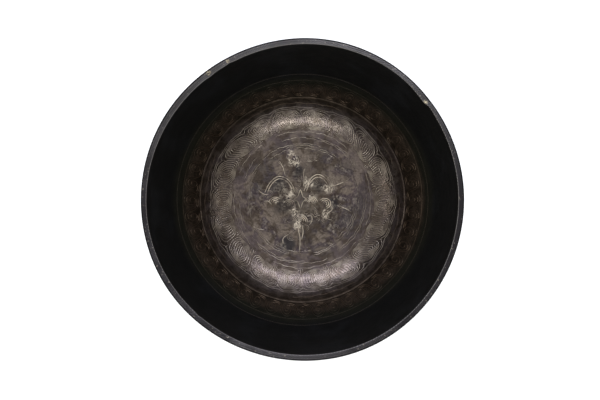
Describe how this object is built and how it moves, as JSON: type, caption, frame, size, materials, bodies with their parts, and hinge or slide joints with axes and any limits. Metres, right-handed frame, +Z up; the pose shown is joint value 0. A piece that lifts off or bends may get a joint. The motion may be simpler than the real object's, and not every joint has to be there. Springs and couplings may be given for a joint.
{
  "type": "singing bowl",
  "caption": "Round hand-hammered bell-metal bowl with a flaring side, a thickened lip and a small flat foot, for striking or rubbing to make it ring.",
  "frame": {"origin": "centre of the flat foot, on the surface that the bowl stands on", "axes": "+Z up along the bowl's axis of revolution, through the centre of the mouth; X and Y are free, because the bowl is round"},
  "size_m": [0.1998, 0.1998, 0.095],
  "materials": {
    "bell_metal": "hammered bronze with a dark patina, worn brighter on the lip and on the raised lines"
  },
  "bodies": {
    "root": {"bowl": "bell_metal"}
  },
  "joints": []
}
